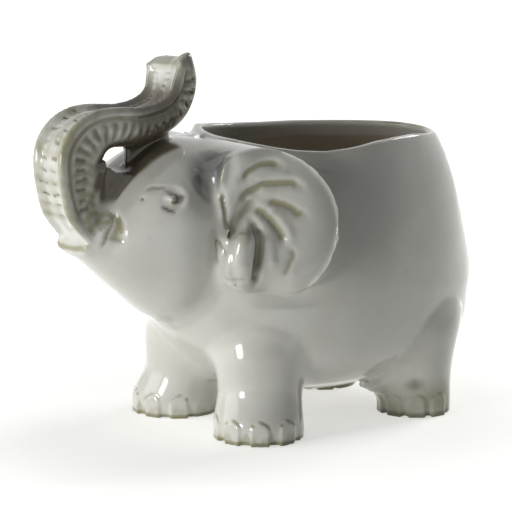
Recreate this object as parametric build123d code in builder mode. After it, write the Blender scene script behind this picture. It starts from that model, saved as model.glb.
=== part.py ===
from build123d import *
import os
from math import cos, pi, sin

# Elephant planter in glazed stoneware, with a pot that opens along its back.
# The elephant faces -Y with its left side to +X and stands on Z = 0, under
# the middle of its bounding box. Lengths are millimetres and turns degrees.
# Every piece is a lump or shell of clay that meets its neighbours face to face.

# Pot
pot_height = 143.4
pot_clearance = 18.0
pot_half_width = 63.5
pot_front_reach = 88.0
pot_rear_reach = 101.0
pot_widest_line = 24.3
pot_wall = 5.2
pot_floor = 7.0
pot_squareness = 2.15
rim_shoulder_rise = 1.5
rim_nape_rise = 3.2
rim_rear_line = 75.0
rim_shoulder_line = 35.0
rim_nape_line = -26.0
rim_rounding = 1.8
drain_diameter = 12.0

# How far a cutting tool runs past the clay that it cuts
overrun = 30.0

# Head
head_length = 85.0
head_root = -29.7
head_half_width = 42.0
head_crown = 149.0
head_depth = 97.0
head_wall = 6.0
head_vent_diameter = 3.5
head_vent_drop = 21.4

# Trunk
trunk_half_width = 13.6
trunk_thickness = 17.0
trunk_sweep = 64.0
trunk_rise = 80.0
trunk_tip_tilt = 40.0

# Ears
ear_length = 62.0
ear_height = 74.0
ear_root_x = 44.5
ear_root_y = -56.7
ear_middle_height = 114.0
ear_swing = 24.8
ear_depth = 42.0
ear_dish_depth = 4.5
ear_rim = 6.0
ear_lobe_radius = 6.2
ear_lobe_length = 30.0
ear_lobe_stand = 2.6

# Legs
leg_top = 64.0
front_foot_radius = 22.3
rear_foot_radius = 18.6
leg_core_share = 0.56
leg_core_floor = 12.0
leg_vent_diameter = 3.5
toenail_width = 9.6
toenail_height = 12.0
toenail_stand = 0.5
toenail_sink = 3.0

# Eyes
eye_radius = 4.0
eye_swell = 3.4

# Tail
tail_top = 96.0
tail_length = 52.0
tail_radius = 4.2
tail_stand_share = 0.9

# Height, half width, front and rear of the pot, from its foot to its rim
pot_shares = [
    (0.000, 0.520, 0.427, 0.605),
    (0.035, 0.680, 0.551, 0.750),
    (0.090, 0.830, 0.675, 0.875),
    (0.180, 0.940, 0.809, 0.964),
    (0.300, 0.990, 0.943, 0.984),
    (0.420, 1.000, 0.986, 0.995),
    (0.550, 0.990, 0.962, 0.964),
    (0.680, 0.972, 0.895, 0.922),
    (0.810, 0.950, 0.800, 0.870),
    (0.920, 0.925, 0.685, 0.805),
    (1.000, 0.905, 0.594, 0.738),
    (1.085, 0.875, 0.523, 0.652),
]

# Length, half width, crown, widest level and jaw of the head from its root
# in the pot's breast to its lower lip. Levels count down from the crown.
head_shares = [
    (0.000, 0.90, 0.050, 0.400, 0.980),
    (0.110, 0.93, 0.020, 0.390, 0.990),
    (0.235, 0.96, 0.005, 0.380, 0.980),
    (0.330, 0.98, 0.005, 0.365, 0.960),
    (0.435, 1.00, 0.025, 0.350, 0.930),
    (0.576, 0.96, 0.090, 0.340, 0.845),
    (0.700, 0.82, 0.172, 0.370, 0.755),
    (0.800, 0.66, 0.262, 0.425, 0.680),
    (0.894, 0.49, 0.345, 0.460, 0.610),
    (0.965, 0.37, 0.415, 0.490, 0.565),
    (1.000, 0.30, 0.460, 0.505, 0.545),
]

# Place of the trunk's root along the head and down from its crown
trunk_root_shares = (0.917, 0.423)

# Forward sweep, rise and thickness of the trunk along its middle, from its root
trunk_shares = [
    (0.000, 0.000, 0.88),
    (0.081, 0.106, 1.08),
    (0.122, 0.231, 1.22),
    (0.136, 0.356, 1.34),
    (0.116, 0.470, 1.44),
    (0.034, 0.551, 1.44),
    (-0.077, 0.597, 1.30),
    (-0.217, 0.611, 1.17),
    (-0.398, 0.604, 1.13),
    (-0.577, 0.628, 1.06),
    (-0.731, 0.679, 1.05),
    (-0.827, 0.770, 1.02),
    (-0.865, 0.876, 0.92),
    (-0.841, 0.996, 0.70),
]

# Half outline of a trunk section from the middle of its ribbed front face,
# over the edge roll and round the side to the back
trunk_section_shares = [
    (0.00, 0.10),
    (0.46, 0.09),
    (0.74, 0.03),
    (0.90, 0.00),
    (1.00, 0.09),
    (0.97, 0.24),
    (0.98, 0.46),
    (0.84, 0.74),
    (0.50, 0.94),
    (0.00, 1.00),
]

# Place of an eye along the head and down from its crown
eye_place_shares = (0.602, 0.245)

# Outline of an ear, back from its root and up from its middle
ear_outline_shares = [
    (-0.03, 0.24),
    (0.06, 0.395),
    (0.25, 0.445),
    (0.47, 0.435),
    (0.70, 0.350),
    (0.88, 0.195),
    (0.97, -0.020),
    (0.93, -0.245),
    (0.80, -0.430),
    (0.60, -0.540),
    (0.40, -0.510),
    (0.21, -0.505),
    (0.07, -0.440),
    (0.05, -0.20),
]

# Place of the ear's hanging lobe, back from its root and up from its middle
ear_lobe_place_shares = (0.175, -0.27)

# Place of a foot, out across the pot's half width and along its reach
front_foot_shares = (0.570, 0.3193)
rear_foot_shares = (0.614, 0.694)

# Height, radius, shift forward and shift inward of a leg above its sole
front_leg_shares = [
    (0.000, 0.980, 0.00, 0.00),
    (0.055, 1.000, 0.00, 0.00),
    (0.165, 1.000, 0.01, 0.02),
    (0.275, 0.965, -0.07, 0.10),
    (0.415, 0.960, -0.16, 0.20),
    (0.680, 1.000, -0.17, 0.24),
    (0.900, 0.900, -0.22, 0.34),
    (1.000, 0.520, -0.30, 0.50),
]
rear_leg_shares = [
    (0.000, 0.980, 0.00, 0.00),
    (0.055, 1.000, 0.00, 0.00),
    (0.165, 1.010, 0.00, 0.02),
    (0.275, 1.130, 0.06, 0.12),
    (0.415, 1.280, 0.12, 0.20),
    (0.680, 1.400, -0.02, 0.30),
    (0.900, 1.220, -0.14, 0.42),
    (1.000, 0.600, -0.20, 0.70),
]
toenail_turns = [-58, -21, 16, 54, 92]

# Height down the tail and radius of the tail
tail_shares = [
    (0.00, 0.90),
    (0.12, 1.00),
    (0.45, 0.80),
    (0.70, 0.72),
    (0.86, 1.25),
    (1.00, 0.60),
]

os.makedirs("parts", exist_ok=True)


def bent(value, squareness):
    """Push a sine or cosine out towards the corners of a superellipse."""
    return abs(value) ** (2 / squareness) * (1 if value > 0 else -1)


def oval(half_width, below, above, squareness, count=20):
    """Points of an oval whose two halves reach differently from its middle line."""
    points = []
    for step in range(count):
        turn = 2 * pi * (step + 0.5) / count
        reach = above if sin(turn) > 0 else below
        points.append((half_width * bent(cos(turn), squareness), reach * bent(sin(turn), squareness)))
    return points


def pot_level(share):
    """Height of a level of the pot."""
    return pot_clearance + share * (pot_height - pot_clearance)


def pot_loft(inset):
    """The pot's outer form, drawn in by an inset, as a closed lump."""
    with BuildPart() as lump:
        for height, width, front, rear in pot_shares:
            with BuildSketch(Plane.XY.offset(pot_level(height))):
                with BuildLine():
                    points = oval(
                        width * pot_half_width - inset,
                        front * pot_front_reach - inset,
                        rear * pot_rear_reach - inset,
                        pot_squareness,
                    )
                    Spline(*[(x, y + pot_widest_line) for x, y in points], periodic=True)
                make_face()
        loft()
    return lump.part


def rump_at(height):
    """Rearward reach of the pot's middle line at a height."""
    level = (height - pot_clearance) / (pot_height - pot_clearance)
    for (low, _, _, low_rear), (high, _, _, high_rear) in zip(pot_shares, pot_shares[1:]):
        if low <= level <= high:
            share = low_rear + (high_rear - low_rear) * (level - low) / (high - low)
            return pot_widest_line + share * pot_rear_reach
    return pot_widest_line


def head_loft(inset):
    """The head and jaw, drawn in by an inset, as a closed lump."""
    with BuildPart() as lump:
        for length, width, crown, widest, jaw in head_shares:
            half = width * head_half_width - inset
            middle = head_crown - widest * head_depth
            rise = (widest - crown) * head_depth - inset
            drop = (jaw - widest) * head_depth - inset
            if min(half, rise, drop) < inset:
                break
            with BuildSketch(Plane.XZ.offset(-head_root + length * head_length)):
                with BuildLine():
                    points = oval(half, drop, rise, 2)
                    Spline(*[(x, z + middle) for x, z in points], periodic=True)
                make_face()
        loft()
    return lump.part


def head_place(length_share, depth_share):
    """A point on the head's middle plane, along from its root and down from its crown."""
    return Vector(0, head_root - length_share * head_length, head_crown - depth_share * head_depth)


def trunk_stations():
    """Place, thickness and run of each trunk section."""
    trunk_root = head_place(*trunk_root_shares)
    stations = []
    for index, (forward, up, thick) in enumerate(trunk_shares):
        before = trunk_shares[max(index - 1, 0)]
        after = trunk_shares[min(index + 1, len(trunk_shares) - 1)]
        ahead = (after[0] - before[0]) * trunk_sweep
        climb = (after[1] - before[1]) * trunk_rise
        run = Vector(0, -ahead, climb).normalized()
        place = trunk_root + Vector(0, -forward * trunk_sweep, up * trunk_rise)
        stations.append((place, thick * trunk_thickness, run))
    return stations


def trunk_outline(thickness):
    """Points round a trunk section, from the middle of its front face."""
    half = [(wide * trunk_half_width, (deep - 0.5) * thickness) for wide, deep in trunk_section_shares]
    other_half = [(-wide, deep) for wide, deep in reversed(half[1:-1])]
    return half + other_half


def leg_loft(foot, side, shares, foot_radius, core_share, floor):
    """A leg, or its hollow core, as a closed lump above its foot's centre."""
    with BuildPart() as lump:
        for level, radius, ahead, inward in shares:
            height = floor + level * (leg_top - floor)
            with BuildSketch(Plane.XY.offset(height)):
                with Locations((foot.X - side * inward * foot_radius, foot.Y - ahead * foot_radius)):
                    Circle(radius * foot_radius * core_share)
        loft()
    return lump.part


# Pot, hollow, with a drain hole and a vent into the head
pot_form = pot_loft(0)
pot_inside = pot_loft(pot_wall)

with BuildPart() as pot_cavity:
    add(pot_inside)
    with Locations((0, 0, pot_clearance + pot_floor)):
        Box(
            4 * pot_half_width,
            4 * pot_rear_reach,
            overrun,
            align=(Align.CENTER, Align.CENTER, Align.MAX),
            mode=Mode.SUBTRACT,
        )

with BuildPart() as rim_cut:
    with BuildSketch(Plane.YZ):
        with BuildLine():
            rear_end = (2 * pot_rear_reach, pot_height)
            nape_height = pot_height + rim_nape_rise
            front_end = (-2 * pot_front_reach, nape_height)
            sky = nape_height + overrun
            Spline(
                rear_end,
                (rim_rear_line, pot_height),
                (rim_shoulder_line, pot_height + rim_shoulder_rise),
                (rim_nape_line, nape_height),
                front_end,
                tangents=[(-1, 0), (-1, 0)],
            )
            Polyline(front_end, (-2 * pot_front_reach, sky), (2 * pot_rear_reach, sky), rear_end)
        make_face()
    extrude(amount=2 * pot_half_width, both=True)

with BuildPart() as pot_body:
    add(pot_form)
    add(rim_cut.part, mode=Mode.SUBTRACT)
    add(pot_cavity.part, mode=Mode.SUBTRACT)
    with Locations((0, pot_widest_line, pot_clearance + pot_floor)):
        Hole(drain_diameter / 2)
    with BuildSketch(Plane.XZ):
        with Locations((0, pot_height - head_vent_drop)):
            Circle(head_vent_diameter / 2)
    extrude(amount=2 * pot_front_reach, mode=Mode.SUBTRACT)
    rim_faces = [face for face in pot_body.faces() if face.center().Z > pot_height - rim_rounding]
    rim_edges = [edge for face in rim_faces for edge in face.edges() if edge.length > 4 * pot_wall]
    fillet(rim_edges, rim_rounding)
pot_body.part.label = "pot_body"
export_step(pot_body.part, "parts/pot_body.step")

# Head, hollow as far forward as its jaw is thick enough
head_form = head_loft(0)
head_inside = head_loft(head_wall)

with BuildPart() as head:
    add(head_form)
    add(head_inside, mode=Mode.SUBTRACT)
    add(pot_form, mode=Mode.SUBTRACT)
head.part.label = "head"
export_step(head.part, "parts/head.step")

# Trunk, solid, raised in front of the face and curled back over the head
stations = trunk_stations()
tip_tilt = trunk_tip_tilt * pi / 180
with BuildPart() as trunk:
    for station, (place, thickness, run) in enumerate(stations):
        if station == len(stations) - 1:
            run = Vector(0, -sin(tip_tilt), cos(tip_tilt))
        with BuildSketch(Plane(origin=place, x_dir=(1, 0, 0), z_dir=run)):
            with BuildLine():
                Spline(*trunk_outline(thickness), periodic=True)
            make_face()
    loft()
    add(head_form, mode=Mode.SUBTRACT)
trunk.part.label = "trunk"
export_step(trunk.part, "parts/trunk.step")

# Ears, dished in front and backed with clay right down to the pot
dish_reach = ear_height / 2 - ear_rim
dish_radius = (dish_reach**2 + ear_dish_depth**2) / (2 * ear_dish_depth)
lobe_back, lobe_up = ear_lobe_place_shares
for name, side in (("left_ear", 1), ("right_ear", -1)):
    swing = ear_swing * pi / 180
    backward = Vector(side * sin(swing), cos(swing), 0)
    outward = Vector(side * cos(swing), -sin(swing), 0)
    ear_face = Plane(
        origin=(side * ear_root_x, ear_root_y, ear_middle_height),
        x_dir=backward,
        z_dir=outward,
    )
    lobe_middle = ear_face.from_local_coords(
        (lobe_back * ear_length, side * lobe_up * ear_height, ear_lobe_stand - ear_lobe_radius)
    )
    with BuildPart() as ear:
        with BuildSketch(ear_face):
            with BuildLine():
                outline = [(back * ear_length, side * up * ear_height) for back, up in ear_outline_shares]
                Spline(*outline, periodic=True)
            make_face()
        extrude(amount=ear_depth, dir=(-side, 0, 0))
        with Locations(ear_face.from_local_coords((ear_length / 2, 0, dish_radius - ear_dish_depth))):
            Sphere(dish_radius, mode=Mode.SUBTRACT)
        with Locations(lobe_middle):
            Cylinder(ear_lobe_radius, ear_lobe_length - 2 * ear_lobe_radius)
        for end in (-1, 1):
            tip = lobe_middle + Vector(0, 0, end * (ear_lobe_length / 2 - ear_lobe_radius))
            with Locations(tip):
                Sphere(ear_lobe_radius)
        add(pot_form, mode=Mode.SUBTRACT)
        add(head_form, mode=Mode.SUBTRACT)
    ear.part.label = name
    export_step(ear.part, f"parts/{name}.step")

# Legs, hollow columns with toenails round the front and a vent in each sole
leg_kinds = {
    "front": (-pot_front_reach, front_foot_shares, front_leg_shares, front_foot_radius),
    "rear": (pot_rear_reach, rear_foot_shares, rear_leg_shares, rear_foot_radius),
}
for kind, (reach, foot_shares, shares, foot_radius) in leg_kinds.items():
    for hand, side in (("left", 1), ("right", -1)):
        across_share, along_share = foot_shares
        foot = Vector(side * across_share * pot_half_width, along_share * reach, 0)
        column = leg_loft(foot, side, shares, foot_radius, 1, 0)
        core = leg_loft(foot, side, shares, foot_radius, leg_core_share, leg_core_floor)
        with BuildPart() as leg:
            add(column)
            for turn in toenail_turns:
                outward = Vector(side * sin(turn * pi / 180), -cos(turn * pi / 180), 0)
                nail_face = Plane(
                    origin=foot + outward * (foot_radius - toenail_sink),
                    x_dir=Vector(-outward.Y, outward.X, 0),
                    z_dir=outward,
                )
                straight = toenail_height - toenail_width / 2
                with BuildSketch(nail_face):
                    with Locations((0, straight / 2)):
                        Rectangle(toenail_width, straight)
                    with Locations((0, straight)):
                        Circle(toenail_width / 2)
                extrude(amount=toenail_sink + toenail_stand)
            add(pot_form, mode=Mode.SUBTRACT)
            if kind == "front":
                add(head_form, mode=Mode.SUBTRACT)
            add(core, mode=Mode.SUBTRACT)
            with Locations(foot):
                Cylinder(leg_vent_diameter / 2, 2 * (leg_core_floor + toenail_sink), mode=Mode.SUBTRACT)
        name = f"{kind}_{hand}_leg"
        leg.part.label = name
        export_step(leg.part, f"parts/{name}.step")

# Eyes, low domes on the skin of the face
for name, side in (("left_eye", 1), ("right_eye", -1)):
    across = Axis(head_place(*eye_place_shares), (side, 0, 0))
    skin = head_form.find_intersection_points(across)
    place, outward = max(skin, key=lambda hit: side * hit[0].X)
    with BuildPart() as eye:
        with Locations(place - (eye_radius - eye_swell) * outward):
            Sphere(eye_radius)
        add(head_form, mode=Mode.SUBTRACT)
    eye.part.label = name
    export_step(eye.part, f"parts/{name}.step")

# Tail, hanging against the rump, with a tuft at its end
with BuildPart() as tail:
    for down, radius in tail_shares:
        height = tail_top - down * tail_length
        with BuildSketch(Plane.XY.offset(height)):
            with Locations((0, rump_at(height))):
                Ellipse(radius * tail_radius, radius * tail_radius * tail_stand_share)
    loft()
    add(pot_form, mode=Mode.SUBTRACT)
tail.part.label = "tail"
export_step(tail.part, "parts/tail.step")
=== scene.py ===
import bpy
import numpy as np
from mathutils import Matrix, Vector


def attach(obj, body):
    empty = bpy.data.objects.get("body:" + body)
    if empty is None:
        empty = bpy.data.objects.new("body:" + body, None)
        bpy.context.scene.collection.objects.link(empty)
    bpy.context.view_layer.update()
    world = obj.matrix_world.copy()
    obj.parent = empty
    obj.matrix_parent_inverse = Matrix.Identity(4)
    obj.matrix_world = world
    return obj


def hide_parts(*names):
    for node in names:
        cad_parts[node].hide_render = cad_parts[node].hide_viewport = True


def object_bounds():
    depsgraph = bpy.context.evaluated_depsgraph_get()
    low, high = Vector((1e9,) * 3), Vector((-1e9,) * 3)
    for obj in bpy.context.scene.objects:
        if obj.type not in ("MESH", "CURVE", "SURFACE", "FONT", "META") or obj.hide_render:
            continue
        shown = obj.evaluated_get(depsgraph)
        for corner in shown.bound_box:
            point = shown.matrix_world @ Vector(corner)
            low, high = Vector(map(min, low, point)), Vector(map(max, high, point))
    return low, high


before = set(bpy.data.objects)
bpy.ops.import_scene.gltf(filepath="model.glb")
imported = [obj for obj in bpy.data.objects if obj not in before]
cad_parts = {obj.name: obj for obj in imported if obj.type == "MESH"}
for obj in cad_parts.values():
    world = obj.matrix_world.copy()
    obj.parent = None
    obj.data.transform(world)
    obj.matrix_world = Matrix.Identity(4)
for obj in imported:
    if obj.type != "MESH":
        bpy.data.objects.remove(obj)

import openvdb
from bpy.props import FloatProperty, FloatVectorProperty, PointerProperty
from mathutils import Vector
from mathutils.bvhtree import BVHTree

bl_info = {
    "name": "Glazed elephant planter",
    "version": (1, 0, 0),
    "blender": (4, 5, 0),
    "location": "3D View > Sidebar > Planter",
    "description": "Models the glazed stoneware skin of an elephant planter over its solids",
    "category": "Add Mesh",
}

# All lengths in the modelling code are millimetres, as on the maker's drawing.
# Blender's metres come in only where a mesh is read or written.
MM = 0.001
CAD_BOX = [list(corner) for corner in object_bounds()]
BODY_NAME = "glazed_body"

# Left and right of the elephant, as the sign of x
SIDES = (1.0, -1.0)


# Sizes and colours that a user would change


def length(name, description, default, smallest=0.0):
    """A length in metres."""
    limits = {"min": smallest, "unit": "LENGTH"}
    return FloatProperty(name=name, description=description, default=default, **limits)


def colour(name, description, *shares):
    """An opaque colour from its shares of red, green and blue."""
    limits = {"size": 4, "min": 0.0, "max": 1.0, "subtype": "COLOR"}
    default = (*shares, 1.0)
    return FloatVectorProperty(name=name, description=description, default=default, **limits)


def brightness(name, description, default):
    """The power of a light, or the strength of the room's."""
    return FloatProperty(name=name, description=description, default=default, min=0.0)


class ClaySizes(bpy.types.PropertyGroup):
    """Sizes of the modelled clay, in metres."""

    grain: length("Grain", "Spacing of the points of the clay's skin", 0.001, smallest=0.0006)
    limb_joint: length("Limb joint", "How far the clay is worked where a limb joins it", 0.007)
    ear_joint: length("Ear joint", "How far the clay is worked where an ear joins it", 0.004)
    face_joint: length("Face joint", "How far the clay is worked at the trunk and tail", 0.003)
    eye_joint: length("Eye joint", "How far the clay is worked round an eye", 0.0015)


class GlazeColours(bpy.types.PropertyGroup):
    """Colours and finish of the glaze, of the painted shade and of the bare clay."""

    glaze: colour("Glaze", "Off-white of the thick glaze", 0.66, 0.655, 0.61)
    # The olive of broken glaze also paints shade under the trunk and ahead of the rear legs
    broken: colour("Broken glaze and shade", "Olive where glaze thins or fills a groove", 0.26, 0.24, 0.115)
    # Grey that paints shade in the temple hollows, on the flank behind each ear and on the ears'
    # rolled rear edges
    pooled: colour("Painted shade", "Grey where glaze pools in a wide hollow", 0.14, 0.145, 0.14)
    # The brown of oxide also paints shade under the trunk and ahead of the rear legs
    oxide: colour("Oxide and shade", "Brown oxide left in the deepest lines", 0.105, 0.085, 0.06)
    clay: colour("Bare clay", "Fired clay inside the pot and on the soles", 0.47, 0.41, 0.32)
    gloss: FloatProperty(
        name="Glaze roughness",
        description="Roughness of the fired glaze",
        default=0.13,
        min=0.0,
        max=1.0,
        subtype="FACTOR",
    )


class StudioSettings(bpy.types.PropertyGroup):
    """Light and floor of the studio."""

    key: brightness("Key light", "Watts of the large soft light ahead of the face", 6.4)
    face: brightness("Face light", "Watts of the low soft light beside the face", 7.3)
    rim: brightness("Rim light", "Watts of the soft light behind the tail", 7.5)
    floor_light: brightness("Floor light", "Watts of the light that the white floor sends up", 0.45)
    room: brightness("Room light", "Brightness of the plain room all round", 0.08)
    floor: colour("Floor", "Colour of the pale floor", 0.74, 0.74, 0.72)


# Smooth steps and lines in the modelling code


def smoothed(share):
    share = np.clip(share, 0.0, 1.0)
    return share * share * (3.0 - 2.0 * share)


def eased(value, low, high):
    """0 below low, 1 above high and a smooth rise between them."""
    return smoothed((value - low) / (high - low))


def faded(value, low, high):
    """1 below low, 0 above high and a smooth fall between them."""
    return smoothed((high - value) / (high - low))


def ridge(distance, half_width):
    """1 on a line and 0 from half_width away from it, smooth at both."""
    return smoothed(1.0 - np.abs(distance) / half_width)


def waves(place, level, *parts):
    """Sine waves added to a level, each with its height, rate and start."""
    for height, rate, start in parts:
        level = level + height * np.sin(place * rate + start)
    return level


def from_spot(points, centre, size):
    """How far points lie from a spot's centre, where 1 is on its rounded edge."""
    return np.linalg.norm((points - centre) / size, axis=1)


def along_line(points, line):
    """Distance of each point from an open line, its run along it, and in a
    plane its signed distance to the line's left."""
    line = np.asarray(line, float)
    best = np.full(len(points), np.inf)
    run = np.zeros(len(points))
    side = np.zeros(len(points))
    start = 0.0
    for a, b in zip(line[:-1], line[1:]):
        step = b - a
        span = np.linalg.norm(step)
        share = np.clip(((points - a) @ step) / span**2, 0.0, 1.0)
        apart = points - a - share[:, None] * step
        distance = np.linalg.norm(apart, axis=1)
        nearer = distance < best
        best[nearer] = distance[nearer]
        run[nearer] = start + share[nearer] * span
        if points.shape[1] == 2:
            side[nearer] = (step[0] * apart[nearer, 1] - step[1] * apart[nearer, 0]) / span
        start += span
    return best, run, side


def smoothed_line(points, count):
    """A rounder line through the same points, with count steps between two."""
    points = np.asarray(points, float)
    padded = np.vstack([2 * points[0] - points[1], points, 2 * points[-1] - points[-2]])
    out = []
    for i in range(1, len(padded) - 2):
        p0, p1, p2, p3 = padded[i - 1 : i + 3]
        for k in range(count):
            t = k / count
            place = 2 * p1 + (p2 - p0) * t
            place = place + (2 * p0 - 5 * p1 + 4 * p2 - p3) * t**2
            place = place + (3 * p1 - p0 - 3 * p2 + p3) * t**3
            out.append(0.5 * place)
    out.append(padded[-2])
    return np.array(out)


def both_sides(line):
    """A line on the elephant's left, and the same line on its right."""
    line = np.asarray(line, float)
    return [line * (side, 1.0, 1.0) for side in SIDES]


# The worked clay


class ClayBlock:
    """Distances to the clay's skin on an even grid round the whole planter."""

    def __init__(self, grain, band):
        low, high = (np.array(corner) / MM for corner in CAD_BOX)
        self.grain = grain
        self.band = band
        self.start = np.floor((low - band) / grain).astype(int) - 2
        self.size = np.ceil((high + band) / grain).astype(int) + 3 - self.start
        self.field = np.full(self.size, band, np.float32)
        self.corner = tuple(int(i) for i in self.start)

    def measure(self, node):
        """Distances to one solid of the planter."""
        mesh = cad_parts[node].data
        mesh.calc_loop_triangles()
        points = np.empty(len(mesh.vertices) * 3, np.float32)
        mesh.vertices.foreach_get("co", points)
        triangles = np.empty(len(mesh.loop_triangles) * 3, np.int32)
        mesh.loop_triangles.foreach_get("vertices", triangles)
        grid = openvdb.FloatGrid.createLevelSetFromPolygons(
            points.reshape(-1, 3) / np.float32(MM),
            triangles=triangles.reshape(-1, 3).astype(np.uint32),
            transform=openvdb.createLinearTransform(voxelSize=self.grain),
            halfWidth=self.band / self.grain,
        )
        distances = np.empty(self.size, np.float32)
        grid.copyToArray(distances, ijk=self.corner)
        return distances

    def join(self, distances, worked):
        """Lutes clay on, with the joint worked over by a width."""
        overlap = np.clip(worked - np.abs(self.field - distances), 0.0, None)
        self.field = np.minimum(self.field, distances) - overlap**2 / (4 * worked)

    def axes(self):
        """Coordinates of the grid along each axis, shaped to broadcast."""
        spans = []
        for axis in range(3):
            line = (self.start[axis] + np.arange(self.size[axis])) * self.grain
            shape = [1, 1, 1]
            shape[axis] = -1
            spans.append(line.reshape(shape).astype(np.float32))
        return spans

    def stop_hole(self, centre, radius, reach, axis):
        """Fills a small vent, so that the hollow behind it isn't part of the skin."""
        spans = [line - middle for line, middle in zip(self.axes(), centre)]
        along = np.abs(spans.pop(axis)) - reach
        across = np.sqrt(spans[0] ** 2 + spans[1] ** 2) - radius
        self.field = np.minimum(self.field, np.maximum(along, across))

    def web(self, outline, half_width, worked):
        """Fills a flat web of clay, whose outline lies in the middle plane."""
        x, y, z = self.axes()
        outline = np.asarray(outline, float)
        place = np.stack(np.broadcast_arrays(y[0], z[0]), axis=-1).reshape(-1, 2)
        edge, _, _ = along_line(place, np.vstack([outline, outline[:1]]))
        within = np.zeros(len(place), bool)
        for a, b in zip(outline, np.roll(outline, -1, axis=0)):
            if a[1] != b[1]:
                crosses = (a[1] > place[:, 1]) != (b[1] > place[:, 1])
                slope = (b[0] - a[0]) / (b[1] - a[1])
                within ^= crosses & (place[:, 0] < a[0] + slope * (place[:, 1] - a[1]))
        flat = np.where(within, -edge, edge).reshape(y.shape[1], z.shape[2]).astype(np.float32)
        across = np.abs(x) - half_width
        slab = np.maximum(flat[None], across)
        outside = np.sqrt(np.maximum(flat[None], 0) ** 2 + np.maximum(across, 0) ** 2)
        self.join(np.clip(np.where(slab > 0, outside, slab), -self.band, self.band), worked)

    def skin(self):
        """Points and quads of the outer skin."""
        grid = openvdb.FloatGrid(float(self.band))
        grid.copyFromArray(self.field, ijk=self.corner)
        grid.transform = openvdb.createLinearTransform(voxelSize=self.grain)
        points, quads = grid.convertToQuads(isovalue=0.0)
        return largest_piece(points.astype(float), quads.astype(int))


def largest_piece(points, quads):
    """The one connected skin with the most points."""
    label = np.arange(len(points))
    while True:
        low = label[quads].min(axis=1)
        fresh = label.copy()
        np.minimum.at(fresh, quads.ravel(), np.repeat(low, 4))
        fresh = fresh[fresh]
        if np.array_equal(fresh, label):
            break
        label = fresh
    names, sizes = np.unique(label, return_counts=True)
    keep = label == names[sizes.argmax()]
    index = np.cumsum(keep) - 1
    return points[keep], index[quads[keep[quads[:, 0]]]]


# Shares by which one wipe of the sponge draws a point to its neighbours and by
# which the wipe after it gives the volume back
WIPE_SHARE = 0.5
GIVE_BACK_SHARE = 0.52

# A tool with a half width under the first length is drawn on the skin itself,
# where its line runs within the second length of the skin
FINE_TOOL = 6.0
TOOL_SNAP = 5.0

# Points this many half widths, and a margin, away from a tool's line are left
TOOL_REACH = 1.5
TOOL_MARGIN = 2.0
TOOL_STEPS = 4

# A tool presses lightest at both ends of its line, over a share of its length
TOOL_LIGHTEST = 0.35
TOOL_END_SHARE = 0.12

# Half width of the stain that a tool leaves, as a share of the tool's own
TOOL_STAIN_SHARE = 0.8


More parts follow.
